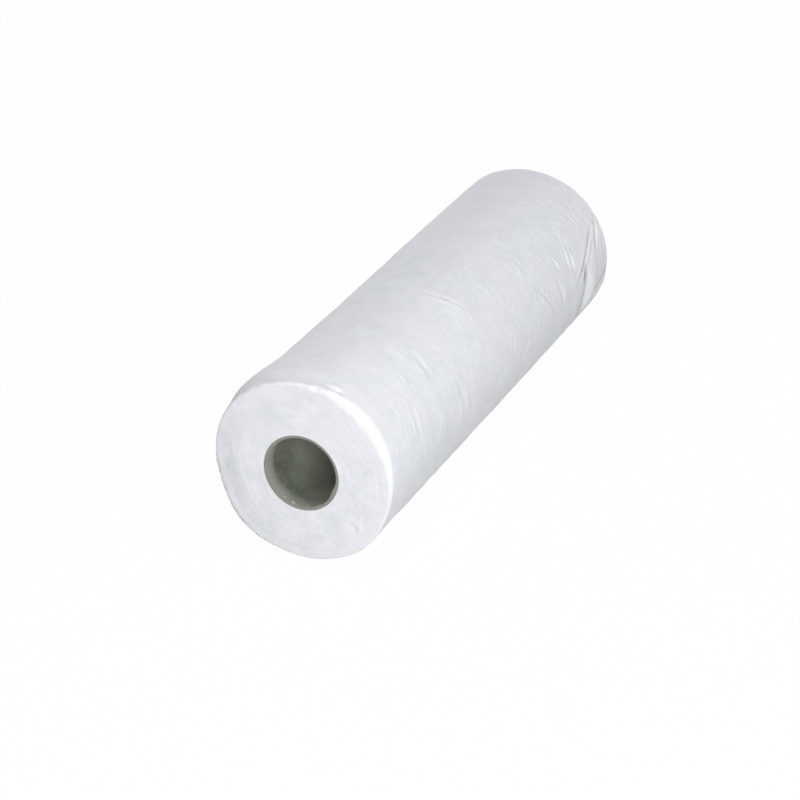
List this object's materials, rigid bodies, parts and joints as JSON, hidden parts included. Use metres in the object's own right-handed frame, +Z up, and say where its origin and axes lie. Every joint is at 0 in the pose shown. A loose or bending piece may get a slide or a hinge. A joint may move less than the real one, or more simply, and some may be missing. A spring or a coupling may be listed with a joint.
{
  "type": "exam table paper roll",
  "caption": "Roll of soft white covering paper wound on a thin grey board core, lying on its side.",
  "frame": {"origin": "centre of the roll's foot on the surface it lies on, under the middle of its length", "axes": "+X along the roll's axis from the near end to the far end, +Z up from the flat spot, -Y the side with the wrinkled front"},
  "size_m": [0.4, 0.1213, 0.1193],
  "materials": {
    "paper": "soft matt, finely wrinkled",
    "core_board": "plain grey board"
  },
  "bodies": {
    "root": {"paper_roll": "paper", "core": "core_board"}
  },
  "joints": []
}
